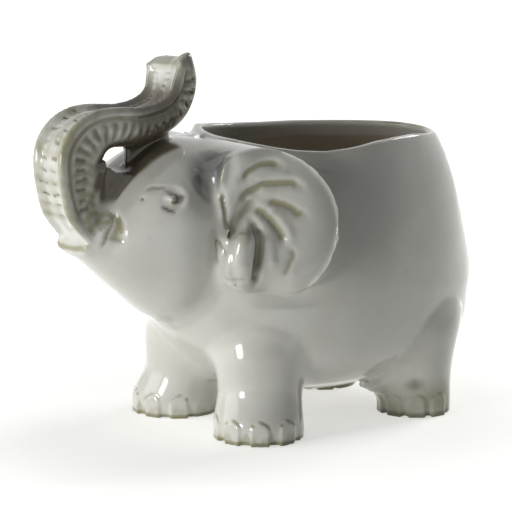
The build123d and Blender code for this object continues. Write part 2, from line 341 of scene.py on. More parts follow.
class Skin:
    """The planter's skin as arrays that the modelling tools push about."""

    def __init__(self, points, quads):
        self.points = points
        self.quads = quads
        pairs = np.vstack([quads[:, [k, (k + 1) % 4]] for k in range(4)])
        self.pairs = np.vstack([pairs, pairs[:, ::-1]])
        self.share = 1.0 / np.maximum(np.bincount(self.pairs[:, 0], minlength=len(points)), 1)
        self.masks = {}

    def full(self, values, near):
        """Values at some of the points, with nothing at all the others."""
        out = np.zeros(len(self.points))
        out[near] = values
        return out

    def spread(self, values):
        """Mean of each point's neighbours."""
        first, second = self.pairs[:, 0], self.pairs[:, 1]
        if values.ndim == 1:
            return np.bincount(first, values[second], len(values)) * self.share
        return np.stack([self.spread(column) for column in values.T], axis=1)

    def smooth(self, rounds, weight=1.0, shrink=True):
        """Wipes the clay smooth with a damp sponge. Without shrink it keeps its volume."""
        weight = np.broadcast_to(weight, len(self.points))[:, None]
        for _ in range(rounds):
            self.gather(WIPE_SHARE * weight)
            if not shrink:
                self.gather(-GIVE_BACK_SHARE * weight)

    def gather(self, share):
        """Moves each point a share of the way to the mean of its neighbours."""
        self.points = self.points + share * (self.spread(self.points) - self.points)

    def normals(self):
        """Outward direction at each point, of length 1."""
        corners = self.points[self.quads]
        faces = np.cross(corners[:, 2] - corners[:, 0], corners[:, 3] - corners[:, 1])
        total = np.zeros_like(self.points)
        for k in range(4):
            for axis in range(3):
                total[:, axis] += np.bincount(self.quads[:, k], faces[:, axis], len(self.points))
        return total / np.maximum(np.linalg.norm(total, axis=1), 1e-9)[:, None]

    def push(self, amount):
        """Moves each point along its normal."""
        self.points = self.points + self.normals() * amount[:, None]

    def snapped(self, line, near):
        """The line laid on the skin, where the skin is close."""
        for index, place in enumerate(line):
            apart = np.linalg.norm(self.points[near] - place, axis=1)
            closest = apart.argmin()
            if apart[closest] < TOOL_SNAP:
                line[index] = self.points[near[closest]]
        line[1:-1] = (line[:-2] + 2.0 * line[1:-1] + line[2:]) / 4.0
        return line

    def tool(self, line, width, depth, broken=0.0, oxide=0.0, stain_half=None):
        """Draws a tool along a line on the skin. Positive depth cuts and negative
        raises. Width is the tool's half width, or its start and end half widths."""
        line = smoothed_line(line, TOOL_STEPS)
        first, last = width if isinstance(width, tuple) else (width, width)
        reach = max(first, last) * TOOL_REACH + TOOL_MARGIN
        low, high = line.min(0) - reach, line.max(0) + reach
        near = np.flatnonzero(np.all((self.points > low) & (self.points < high), axis=1))
        if len(near) and max(first, last) < FINE_TOOL:
            line = self.snapped(line, near)
        distance, run, _ = along_line(self.points[near], line)
        share = run / np.linalg.norm(np.diff(line, axis=0), axis=1).sum()
        half = first + (last - first) * share
        pressed = eased(share, 0.0, TOOL_END_SHARE) * faded(share, 1.0 - TOOL_END_SHARE, 1.0)
        pressed = pressed * (1.0 - TOOL_LIGHTEST) + TOOL_LIGHTEST
        self.push(self.full(-depth * pressed * ridge(distance, half), near))
        if stain_half is None:
            stain_half = half * TOOL_STAIN_SHARE
        for name, strength in (("broken", broken), ("oxide", oxide)):
            if strength:
                self.stain(name, self.full(strength * pressed * ridge(distance, stain_half), near))

    def stain(self, name, values):
        """Keeps the strongest of a mask's old and new values."""
        old = self.masks.get(name)
        self.masks[name] = values if old is None else np.maximum(old, values)


# The skin that each step leaves for the next. A step fails where there is none.
MODEL = {}

# Middles of the feet, left and right of the front and then of the rear: x and y
FEET = [(36.2, -28.1), (-36.2, -28.1), (39.0, 70.1), (-39.0, 70.1)]

# Vents that are stopped: centre, half length and axis
VENT_RADIUS = 3.0
VENTS = [((x, y, 8.0), 7.0, 2) for x, y in FEET] + [((0.0, -52.0, 122.0), 9.0, 1)]

# Webs of clay under the trunk, the second behind the first: half width, how far
# they are worked over, and outline as y and z
WEBS = [
    (10.5, 4.0, [
        (-110, 112), (-94, 112), (-88, 126), (-88, 134),
        (-94, 135.8), (-98.5, 138.4), (-103, 140), (-110, 138),
    ]),
    (1.6, 2.5, [
        (-84, 134), (-80, 138), (-58, 145), (-58, 156), (-70, 153), (-80, 150), (-82.5, 149),
    ]),
]

FIRST_WIPES = 6


class PLANTER_OT_join_body(bpy.types.Operator):
    """Lute the pot, head, limbs, ears, trunk, eyes and tail into one body of clay"""

    bl_idname = "planter.join_body"
    bl_label = "Join the body"

    def execute(self, context):
        sizes = context.scene.planter_clay
        grain = sizes.grain / MM * 1.0
        limb, ear = sizes.limb_joint / MM, sizes.ear_joint / MM
        face, eye = sizes.face_joint / MM, sizes.eye_joint / MM
        block = ClayBlock(grain, limb + 2 * grain)
        joints = [("pot_body", limb), ("head", limb)]
        joints += [(f"front_{hand}_leg", limb) for hand in ("left", "right")]
        joints += [(f"rear_{hand}_leg", limb) for hand in ("left", "right")]
        joints += [("left_ear", ear), ("right_ear", ear), ("trunk", face), ("tail", face)]
        joints += [("left_eye", eye), ("right_eye", eye)]
        for node, worked in joints:
            block.join(block.measure(node), worked)
        for half_width, worked, outline in WEBS:
            block.web(outline, half_width, worked)
        for centre, reach, axis in VENTS:
            block.stop_hole(centre, VENT_RADIUS, reach, axis)
        skin = Skin(*block.skin())
        skin.smooth(FIRST_WIPES, shrink=False)
        MODEL["skin"] = skin
        return {"FINISHED"}


# Rim of the pot: turn from the elephant's left round by its tail, and how far
# the hand-cut edge stands above or below an even rim
RIM_WAVES = [
    (-67, -1.2), (-56, -2.2), (-44, -3.2), (-32, -3.5), (-18, -1.8), (-4, 0.8), (10, 2.2),
    (24, 2.8), (40, 1.6), (62, 0.4), (82, 1.0), (100, 0.9), (118, 0.3), (140, -0.2),
    (160, -0.6), (178, -1.2), (196, -0.9), (212, 0.2), (228, 2.0), (245, 0.8), (262, 0.0),
    (280, -0.4),
]

# Middle of the mouth along y, the half sizes of its edge, and those of the clay
# that the cut edge draws along
MOUTH_MIDDLE = 35.0
MOUTH_HALVES = (57.0, 62.0)
RIM_HALVES = (63.0, 70.0)

# Box round the pot's inside
INSIDE_LOW = (-62.0, -58.0, 22.0)
INSIDE_HIGH = (62.0, 122.0, 150.0)

# Heights between which the glaze inside the mouth ends
GLAZE_END = (134.8, 135.8)


def pot_inside(skin):
    """1 at the points of the pot's inside, which see the middle of the pot, and else 0."""
    x, y, z = skin.points.T
    normals = skin.normals()
    inward = -(normals[:, 0] * x + normals[:, 1] * (y - 30.0))
    maybe = (inward > 0.0) | ((normals[:, 2] > 0.5) & (z < 60.0))
    maybe &= np.all((skin.points > INSIDE_LOW) & (skin.points < INSIDE_HIGH), axis=1)
    tree = BVHTree.FromPolygons(skin.points.tolist(), skin.quads.tolist())
    middle = np.stack([0.0 * x, np.clip(y, 10.0, 60.0), np.clip(z, 50.0, 125.0)], axis=1)
    inside = np.zeros(len(x))
    for index in np.flatnonzero(maybe):
        start = skin.points[index] + 0.6 * normals[index]
        sight = middle[index] - start
        far = float(np.linalg.norm(sight))
        if tree.ray_cast(Vector(start), Vector(sight), far)[0] is None:
            inside[index] = 1.0
    return inside


class PLANTER_OT_cut_rim(bpy.types.Operator):
    """Cut the pot's rim by hand, so that it waves a little, and leave its inside bare"""

    bl_idname = "planter.cut_rim"
    bl_label = "Cut the rim"

    def execute(self, context):
        skin = MODEL["skin"]
        x, y, z = skin.points.T
        turn = np.degrees(np.arctan2((y - MOUTH_MIDDLE) / MOUTH_HALVES[1], x / MOUTH_HALVES[0]))
        turn = np.where(turn < -80.0, turn + 360.0, turn)
        turns, lifts = zip(*RIM_WAVES)
        turns = [turns[-1] - 360.0, *turns, turns[0] + 360.0]
        lifts = [lifts[-1], *lifts, lifts[0]]
        within = np.hypot(x / RIM_HALVES[0], (y - MOUTH_MIDDLE) / RIM_HALVES[1]) < 1.0
        near_rim = eased(z, 118.0, 141.0) * within * eased(y, -34.0, -28.0)
        skin.points[:, 2] += np.interp(turn, turns, lifts) * near_rim
        glaze_end = skin.points[:, 2] + waves(turn, 0.0, (0.5, 0.11, 0.0), (0.3, 0.043, 1.0))
        skin.stain("bare", pot_inside(skin) * faded(glaze_end, *GLAZE_END))
        return {"FINISHED"}


# Middle of the trunk from its root to its tip: y, z and thickness
TRUNK_LINE = [
    (-107.6, 108.0, 15.0), (-112.8, 116.5, 18.4), (-115.5, 126.5, 20.7), (-116.3, 136.5, 22.8),
    (-115.1, 145.6, 24.5), (-109.8, 152.1, 24.5), (-102.7, 155.7, 22.1), (-93.8, 156.9, 19.9),
    (-82.2, 156.3, 19.2), (-70.7, 158.2, 18.0), (-60.9, 162.3, 17.9), (-54.7, 169.6, 17.3),
    (-52.3, 178.1, 15.6), (-53.8, 187.7, 11.9),
]
TRUNK_STEPS = 6

# Where painted shadow of the trunk, with olive glaze in it, starts on the forehead: y, z and half
# width
TRUNK_SHADE_EDGE = [
    (-96.5, 122.0, 6.0), (-91.6, 129.7, 9.0), (-87.3, 133.8, 10.5), (-81.1, 138.4, 11.5),
    (-74.2, 142.4, 12.0), (-69.3, 144.7, 12.5), (-60.0, 147.0, 13.0),
]

# Depth through the trunk is a share, from 0 at its front to 1 at its underside.
# Widths are millimetres from the middle plane, and runs are along the trunk.
FRONT_FACE = (0.12, 0.22)
SIDE_FACE = (10.6, 12.2)
# Share of the rolling on the trunk's right, where the left has all of it
RIGHT_SHARE = 0.45
MARK_SEED = 11
# The trunk's tip stands behind this y
TIP_BEHIND = -72.0


def trunk_shade_and_stain(points):
    """Share of painted shade, with olive glaze in it, between the trunk and the forehead, where the
    trunk shades the forehead.
    """
    x, y, z = points.T
    wide = np.abs(x)
    edge_y, edge_z, edge_half = np.asarray(TRUNK_SHADE_EDGE).T
    half = np.interp(y, edge_y, edge_half)
    level = np.interp(y, edge_y, edge_z)
    along = eased(y, -104.0, -97.0) * faded(y, -64.0, -56.0)
    crest = faded(wide, half - 1.0, half + 6.0) * along * eased(z, level - 9.0, level - 4.0)
    inside = eased(y, -108.0, -103.0) * faded(y, -90.0, -84.0)
    inside = inside * faded(wide, 12.0, 14.0) * eased(z, 118.0, 126.0)
    crevice = eased(y, -96.0, -90.0) * faded(y, -64.0, -58.0) * faded(wide, 12.0, 14.5)
    crevice = crevice * eased(z - level, -8.0, -4.0) * faded(z - level, 4.5, 7.5)
    return np.maximum.reduce([crest, inside * faded(z, 141.0, 146.0), crevice])


def pressed_ribs(rng, length, run, deep, side_face):
    """Depths and stains of the ribs on the trunk's sides."""
    ribs = np.zeros(len(run))
    stain = np.zeros(len(run))
    place, free_tip = 14.0, 8.0
    while place < length - free_tip:
        longer = 0.14 * float(eased(np.array(place), 48.0, 60.0))
        top = rng.uniform(0.25, 0.32)
        bottom = top + rng.uniform(0.30, 0.48) + longer
        strength = rng.uniform(0.6, 1.0)
        skew = rng.uniform(-3.0, 3.0)
        span = eased(deep, top, top + 0.06) * faded(deep, bottom - 0.12, bottom)
        apart = run - place - skew * (deep - 0.5)
        ribs += ridge(apart, 2.3) * span * side_face
        stain = np.maximum(stain, strength * ridge(apart, 1.9) * span * side_face)
        place += rng.uniform(4.4, 5.4)
    return ribs, stain


def pressed_dashes(rng, length, run, x, front):
    """Depths of the short dashes on the trunk's front."""
    dashes = np.zeros(len(run))
    place, free_tip = 12.0, 5.0
    while place < length - free_tip:
        for column in (-6.4, 1.8):
            centre = column + rng.uniform(-0.8, 0.8)
            reach = rng.uniform(1.4, 2.6)
            strength = rng.uniform(0.35, 1.0)
            skew = rng.uniform(-0.25, 0.25)
            apart = run - place - skew * (x - centre)
            mark = ridge(apart, 1.15) * faded(np.abs(x - centre), reach, reach + 0.7)
            dashes = np.maximum(dashes, strength * mark * front)
        place += rng.uniform(4.2, 5.4)
    return dashes


def draw_tip(skin):
    """Draws the trunk's tip up to a point on its left and stains it."""
    x, y, z = skin.points.T
    tip = eased(z, 172.0, 185.0) * (y > TIP_BEHIND)
    skin.points[:, 2] += (3.4 * eased(x, -1.0, 9.0) - 4.0 * eased(y, -55.0, -46.0)) * tip
    corner = tip * faded(x, -9.0, 2.0) * faded(y, -58.0, -48.0)
    skin.points += corner[:, None] * np.array((-1.6, -2.2, 0.0))
    skin.smooth(4, tip, shrink=False)
    apex = eased(z, 182.0, 188.0) * eased(x, 0.0, 5.0) * (y > TIP_BEHIND)
    skin.smooth(12, apex)
    skin.stain("oxide", 0.5 * apex)
    skin.stain("broken", 0.6 * tip * eased(z, 178.0, 186.0))


class PLANTER_OT_rib_trunk(bpy.types.Operator):
    """Roll the trunk's edges, and press ribs into its sides and dashes into its front"""

    bl_idname = "planter.rib_trunk"
    bl_label = "Rib the trunk"

    def execute(self, context):
        skin = MODEL["skin"]
        line = np.asarray(TRUNK_LINE)
        middle = smoothed_line(line[:, :2], TRUNK_STEPS)
        runs = np.r_[0.0, np.cumsum(np.linalg.norm(np.diff(middle, axis=0), axis=1))]
        length = runs[-1]
        thick = np.interp(np.arange(len(middle)), np.arange(len(line)) * TRUNK_STEPS, line[:, 2])
        x, y, z = skin.points.T
        near = np.flatnonzero((y < -36.0) & (z > 96.0) & (np.abs(x) < 17.0))
        x = x[near]
        distance, run, side = along_line(skin.points[near, 1:], middle)
        thickness = np.interp(run, runs, thick)
        deep = 0.5 - side / thickness
        wide = np.abs(x)
        on_trunk = (distance < thickness * 0.5 + 2.5) & (run > 1.0)
        fade = eased(run, 4.0, 16.0)
        tip = eased(run, length - 9.0, length - 3.0)
        front = faded(deep, *FRONT_FACE) * on_trunk
        side_face = eased(wide, *SIDE_FACE) * on_trunk

        left = RIGHT_SHARE + (1.0 - RIGHT_SHARE) * eased(x, -4.0, 2.0)
        roll = ridge(wide - 11.3, 3.0) * faded(deep, 0.16, 0.30) * on_trunk * fade
        beside = ridge(wide - 7.4, 1.9) * front * fade * left
        behind = ridge((deep * thickness) - 4.4, 2.0) * eased(wide, 11.0, 12.4)
        behind = behind * on_trunk * fade * (1 - tip)
        fuller = 2.8 * eased(deep, 0.55, 0.9) * ridge(run - 40.0, 30.0) * on_trunk
        rise = roll * 1.1 * left - beside * 0.8 - behind * 0.9 + fuller
        rng = np.random.default_rng(MARK_SEED)
        ribs, rib_stain = pressed_ribs(rng, length, run, deep, side_face)
        dashes = pressed_dashes(rng, length, run, x, front)
        rise -= ribs * 0.9 + dashes * 0.4
        skin.push(skin.full(rise, near))

        # Glaze breaks over the marks and mottles the faces between them
        mottle = np.sin(run * 0.83 + 2.0 * np.sin(deep * 7.0)) * np.sin(run * 0.37 + deep * 9.0)
        mottle = 0.5 + 0.5 * mottle
        low_wash = eased(deep, 0.2, 0.3) * (1.0 + 0.5 * faded(run, 50.0, 75.0))
        side_wash = side_face * (0.2 + 0.38 * mottle) * low_wash
        front_wash = front * (0.1 + 0.5 * mottle) * faded(np.abs(run - 34.0), 22.0, 34.0)
        crest = ridge(wide - 12.6, 1.5) * faded(deep, 0.1, 0.25)
        crest = crest * on_trunk * (0.35 + 0.55 * mottle) * fade
        # Painted shade, with olive glaze in it, on the trunk's underside where it hangs over the
        # forehead
        under = eased(deep, 0.62, 0.92) * on_trunk * eased(run, 14.0, 26.0) * faded(run, 80.0, 95.0)
        under = np.maximum(under, trunk_shade_and_stain(skin.points[near]))
        apex = tip * eased(wide, 7.0, 12.0) * on_trunk
        broken = [beside, behind, rib_stain, dashes * 0.7, side_wash, front_wash, crest]
        broken += [under * 0.9]
        oxide = [0.3 * crest * (1 + mottle) / 2, rib_stain, dashes * 0.95, under]
        oxide += [behind * 0.5, beside * 0.25, apex * 0.6]
        skin.stain("broken", skin.full(np.maximum.reduce(broken), near))
        skin.stain("oxide", skin.full(np.maximum.reduce(oxide), near))
        draw_tip(skin)
        return {"FINISHED"}


# Tool lines of the left ear: half width, depth, broken glaze, oxide, line
EAR_LINES = [
    (3.6, 1.8, 0.75, 0.05, [
        (48.0, -47.6, 133.0), (49.4, -44.3, 136.0), (50.9, -40.9, 138.2), (52.3, -37.6, 139.6),
        (53.9, -33.7, 140.2), (55.5, -28.9, 138.7),
    ]),
    (3.6, 1.9, 0.8, 0.05, [
        (46.5, -47.2, 120.5), (46.9, -46.3, 123.0), (47.9, -43.8, 125.7), (49.1, -40.3, 127.4),
        (50.7, -36.4, 129.5), (52.2, -32.4, 129.3), (54.7, -26.6, 129.9), (57.0, -21.9, 129.0),
        (58.3, -19.1, 127.6),
    ]),
    (3.9, 1.6, 0.65, 0.0, [
        (50.7, -33.8, 121.0), (51.4, -31.8, 120.7), (53.0, -27.9, 119.5), (54.8, -24.1, 117.8),
        (56.6, -20.3, 115.0), (58.2, -17.6, 113.4),
    ]),
    (3.9, 2.3, 0.7, 0.0, [
        (48.4, -39.8, 117.2), (49.8, -35.7, 115.1), (50.9, -32.7, 112.4), (52.2, -29.8, 108.6),
        (53.5, -27.6, 104.4), (54.3, -26.9, 100.3),
    ]),
    (3.2, 0.7, 0.5, 0.0, [
        (55.9, -24.0, 97.0), (57.1, -23.5, 93.6), (56.8, -26.2, 89.1), (57.1, -28.3, 84.7),
    ]),
    (3.4, 3.0, 0.8, 0.45, [
        (47.8, -41.8, 112.4), (48.5, -39.8, 108.6), (49.3, -38.5, 103.9), (49.8, -38.3, 99.8),
        (50.3, -39.3, 94.8), (51.4, -41.3, 87.4), (51.6, -41.4, 79.6),
    ]),
    (3.6, 1.7, 1.0, 0.6, [
        (44.2, -57.4, 126.8), (44.6, -56.2, 119.6), (44.7, -55.4, 115.4), (44.4, -55.1, 111.2),
        (45.1, -54.1, 106.0), (45.7, -53.0, 102.1),
    ]),
    (8.0, 3.0, 0.5, 0.2, [
        (48.6, -40.5, 122.5), (47.7, -42.4, 119.7), (46.5, -46.6, 113.7), (45.9, -50.6, 107.8),
        (46.0, -52.5, 102.9),
    ]),
    (1.6, 0.5, 0.7, 0.0, [
        (40.6, -57.1, 103.6), (41.1, -54.7, 99.3), (43.9, -54.2, 95.0),
    ]),
    (1.6, 0.5, 0.6, 0.0, [
        (40.6, -57.8, 104.2), (39.6, -56.4, 97.2), (38.9, -55.3, 90.2),
    ]),
    ((4.5, 9.0), -2.4, 0.0, 0.0, [
        (49.4, -46.5, 106.5), (49.4, -48.9, 100.0), (49.0, -50.0, 94.0), (48.6, -50.4, 89.0),
    ]),
    (2.6, 1.3, 0.35, 0.1, [
        (41.0, -55.0, 83.5), (46.2, -52.5, 83.5), (51.9, -46.1, 84.0),
    ]),
    (1.6, 0.6, 0.5, 0.8, [
        (46.5, -50.8, 81.8), (47.3, -50.0, 80.6),
    ]),
    (13.0, 3.6, 0.0, 0.0, [
        (33.0, -54.6, 143.0), (38.3, -56.2, 140.0), (40.4, -58.6, 135.0), (38.8, -60.6, 130.0),
        (36.5, -64.5, 126.0),
    ]),
    (3.2, -1.3, 0.0, 0.0, [
        (38.5, -52.5, 144.5), (42.5, -55.6, 139.5), (44.4, -57.4, 134.5), (44.4, -57.2, 129.5),
    ]),
    (4.5, -1.0, 0.0, 0.0, [
        (51.6, -34.6, 117.5), (53.8, -29.5, 113.2), (55.6, -26.6, 108.0), (57.0, -24.6, 101.5),
    ]),
    (4.0, -0.8, 0.0, 0.0, [
        (50.0, -40.4, 131.8), (53.6, -33.0, 134.6), (57.4, -25.6, 134.0),
    ]),
    (4.5, -1.2, 0.0, 0.0, [
        (52.0, -34.9, 104.5), (53.4, -34.0, 97.0), (54.6, -34.0, 90.0),
    ]),
]

# Spots of painted shade, dark grey, in the temple hollow and on the flank behind the ear: centre,
# half sizes and strength
SHADE_SPOTS = [
    ((35.0, -57.5, 140.5), (17.0, 15.0, 20.0), 1.0),
    ((64.0, 12.0, 118.0), (32.0, 46.0, 54.0), 0.5),
]

# Outline of the left ear in its own plane, back from its root and up
EAR_OUTLINE = [
    (-1.9, 17.8), (3.7, 29.2), (15.5, 32.9), (29.1, 32.2), (43.4, 25.9), (54.6, 14.4),
    (60.1, -1.5), (57.7, -18.1), (49.6, -31.8), (37.2, -40.0), (24.8, -37.7), (13.0, -37.4),
]
EAR_STEPS = 5
EAR_ROOT = np.array((44.5, -56.7, 114.0))
EAR_BACK = np.array((0.4195, 0.9078, 0.0))
EAR_OUT = np.array((0.9078, -0.4195, 0.0))

# The ear's edge bends in: width of the bend, its drop and how sharp it is
EDGE_WIDTH, EDGE_DROP, EDGE_BEND = 15.0, 5.6, 1.7


class PLANTER_OT_fold_ears(bpy.types.Operator):
    """Round the ears over at their edges and draw their folds"""

    bl_idname = "planter.fold_ears"
    bl_label = "Fold the ears"

    def execute(self, context):
        skin = MODEL["skin"]
        outline = smoothed_line(EAR_OUTLINE, EAR_STEPS)
        for side in SIDES:
            mirror = np.array((side, 1.0, 1.0))
            local = skin.points * mirror - EAR_ROOT
            plane = np.stack([local @ EAR_BACK, local[:, 2]], axis=1)
            back, up = plane.T
            out = local @ EAR_OUT
            facing = (skin.normals() * mirror) @ EAR_OUT
            close = (local[:, 0] > -14.0) & (np.abs(out) < 16.0) & (np.abs(up) < 46.0)
            close &= (back > -6.0) & (back < 66.0)
            near = np.flatnonzero(close & (facing > -0.15))
            inset, _, _ = along_line(plane[near], outline)
            share = np.clip(1.0 - inset / EDGE_WIDTH, 0.0, 1.0)
            drop = EDGE_DROP * share**EDGE_BEND * eased(back[near], 8.0, 24.0)
            drop = drop * eased(out[near], -9.0, 0.0)
            skin.points[near] -= (drop[:, None] * EAR_OUT) * mirror
            skin.smooth(9, skin.full(eased(share, 0.05, 0.5), near))

            # The edge itself is rounded, and then its inner side behind
            edge = np.flatnonzero(close)
            back, up, out = back[edge], up[edge], out[edge]
            inset, _, _ = along_line(plane[edge], outline)
            rounded = faded(inset, 1.5, 5.0) * eased(back, 12.0, 24.0) * eased(out, -12.0, -5.0)
            skin.smooth(10, skin.full(rounded, edge))
            inner = faded(inset, 6.0, 12.0) * faded(out, -6.0, -3.5) * eased(back, 40.0, 50.0)
            skin.smooth(10, skin.full(inner, edge))
            # Painted shade on the rolled band at the ear's rear edge, which turns away from the
            # light
            behind = eased(back, 32.0, 48.0) * eased(up, -32.0, -12.0)
            band = 0.38 * ridge(inset - 8.0, 7.0) * behind
            skin.stain("pooled", skin.full(band * eased(out, -12.0, -8.0), edge))
            # Painted shade in the temple hollow and on the flank behind the ear
            for centre, size, strength in SHADE_SPOTS:
                spot = from_spot(skin.points * mirror, centre, size)
                skin.stain("pooled", strength * faded(spot, 0.3, 1.0))

        for width, depth, broken, oxide, line in EAR_LINES:
            for drawn in both_sides(line):
                skin.tool(drawn, width, depth, min(1.3 * broken, 1.0), oxide + 0.16 * broken)
        x, y, z = skin.points.T
        ears = eased(np.abs(x), 32.0, 36.0) * eased(y, -66.0, -62.0) * faded(y, 0.0, 8.0)
        skin.smooth(2, 0.7 * ears * eased(z, 70.0, 76.0))
        return {"FINISHED"}


# Tool lines of the left side of the face: half width or its start and end,
# depth, broken glaze, oxide, line
FACE_LINES = [
    (1.8, 0.6, 0.85, 0.2, [
        (24.1, -87.5, 128.6), (26.5, -85.0, 129.7), (29.2, -82.8, 129.9), (31.2, -80.5, 130.2),
    ]),
    (1.7, 0.8, 0.6, 0.8, [
        (34.6, -85.7, 121.6), (36.7, -84.0, 120.2), (38.2, -82.1, 119.2), (39.2, -80.4, 119.2),
    ]),
    (1.5, 0.8, 0.5, 0.9, [
        (25.9, -90.9, 124.4), (25.9, -89.9, 124.4),
    ]),
    (1.3, 0.5, 0.3, 0.8, [
        (32.9, -91.2, 106.7), (32.9, -90.4, 106.7),
    ]),
    (1.3, 0.4, 0.3, 0.4, [
        (23.2, -64.6, 141.9), (23.2, -63.6, 141.9),
    ]),
    ((2.4, 8.0), 2.6, 1.0, 0.25, [
        (17.3, -100.0, 117.0), (20.5, -101.4, 113.3), (21.4, -103.0, 109.0), (21.5, -104.4, 104.0),
    ]),
    ((2.2, 1.6), 1.0, 0.8, 0.25, [
        (17.1, -100.0, 117.5), (18.4, -103.3, 112.6), (19.0, -106.6, 106.7), (17.9, -108.8, 101.9),
    ]),
    ((3.0, 9.5), 0.0, 0.95, 0.34, [
        (17.6, -100.0, 116.0), (20.8, -101.4, 112.0), (22.0, -102.4, 108.0), (21.8, -104.0, 104.0),
    ]),
    ((1.6, 2.4), -0.8, 0.0, 0.0, [
        (16.0, -102.6, 117.5), (16.6, -106.0, 112.0), (16.8, -109.0, 106.5),
    ]),
]

# Middle of the left eye, the way it looks, and how far its lids reach
EYE_CENTRE = (38.6, -80.9, 125.2)
EYE_OUTWARD = (0.82, -0.56, 0.1)
EYE_REACH = 10.0

# Smudge of broken glaze over the eye's front corner: centre and half sizes
SMUDGE_CENTRE, SMUDGE_SIZE = (27.5, -84.5, 128.0), (5.0, 5.0, 3.2)

# Lower lip and the crease over it
LIP_LINE = [
    (-13.0, -113.6, 100.6), (-6.0, -115.2, 99.2), (4.8, -115.2, 100.0), (13.2, -113.6, 101.6),
]
LIP_CREASE = [(-12.0, -115.0, 105.0), (0.0, -116.0, 104.6), (12.0, -115.0, 105.4)]

# Corner of the mouth on the left
MOUTH_CORNER = (20.0, -103.0, 109.0)


class PLANTER_OT_shape_face(bpy.types.Operator):
    """Draw the eyes' lids, the brow, the corners of the mouth and the lip"""

    bl_idname = "planter.shape_face"
    bl_label = "Shape the face"

    def execute(self, context):
        skin = MODEL["skin"]
        for width, depth, broken, oxide, line in FACE_LINES:
            for drawn in both_sides(line):
                skin.tool(drawn, width, depth, broken, oxide)
        for side in SIDES:
            mirror = np.array((side, 1.0, 1.0))
            apart = skin.points - mirror * EYE_CENTRE
            close = np.linalg.norm(apart, axis=1) < EYE_REACH
            outward = mirror * EYE_OUTWARD
            flat = np.linalg.norm(apart - (apart @ outward)[:, None] * outward, axis=1)
            dome = 1.3 * faded(flat, 1.6, 4.1) - 2.4 * faded(flat, 3.6, 7.0)
            skin.push(close * dome)
            rear = eased(apart[:, 1] - 0.5 * apart[:, 2], -2.2, 1.6)
            skin.stain("broken", close * faded(flat, 2.6, 4.4) * (0.25 + 0.75 * rear))
            skin.stain("oxide", close * 0.75 * rear * ridge(flat - 2.4, 2.0))
            smudge = from_spot(skin.points, mirror * SMUDGE_CENTRE, SMUDGE_SIZE)
            skin.stain("broken", 0.5 * ridge(smudge, 1.3))
        skin.tool(LIP_LINE, 3.0, -1.2, 1.0, 0.15, stain_half=2.4)
        x, y, z = skin.points.T
        beside = np.hypot(np.abs(x) - MOUTH_CORNER[0], y - MOUTH_CORNER[1])
        corner = faded(beside, 9.0, 12.0) * faded(np.abs(z - MOUTH_CORNER[2]), 9.0, 12.0)
        skin.smooth(3, 0.8 * corner)
        skin.tool(LIP_CREASE, 2.2, 0.6)
        return {"FINISHED"}


FRONT_RADIUS, REAR_RADIUS = 22.3, 18.6

# Turns round a foot, from its front to the elephant's outside, in degrees: the
# middles of the toenails and the gaps between them
TOENAIL_TURNS = (-58, -21, 16, 54, 92)
NAIL_GAPS = (-77, -39.5, -2.5, 35, 73, 111)

# A toenail is a round arch: half width, and the height where its sides end
NAIL_HALF, NAIL_SIDES = 4.8, 7.2

# Flare of the left of the belly ahead of the rear leg, which the sponge evens out
FLARE_CENTRE, FLARE_SIZE = (40.0, 47.0, 24.0), (14.0, 13.0, 16.0)


def pressed_nails(turn, up, radius, foot):
    """Rise of a foot's toenails, and how strongly their outlines are stained."""
    rise = np.zeros(len(up))
    outline = np.zeros(len(up))
    for nail in TOENAIL_TURNS:
        arc = np.radians((turn - nail + 180.0) % 360.0 - 180.0) * radius
        arch = np.hypot(arc / NAIL_HALF, np.maximum(up - NAIL_SIDES, 0.0) / NAIL_HALF)
        inside = (arch < 1.6) & foot
        rise += inside * (0.12 * faded(arch, 0.75, 1.0) - 0.3 * ridge(arch - 1.12, 0.3))
        patch = 0.5 + 0.5 * np.sin(up * 1.3 + arc * 0.9 + nail)
        line = inside * ridge(arch - 1.0, 0.42) * eased(up, 5.0, 11.0) * patch
        outline = np.maximum(outline, line)
    return rise, outline


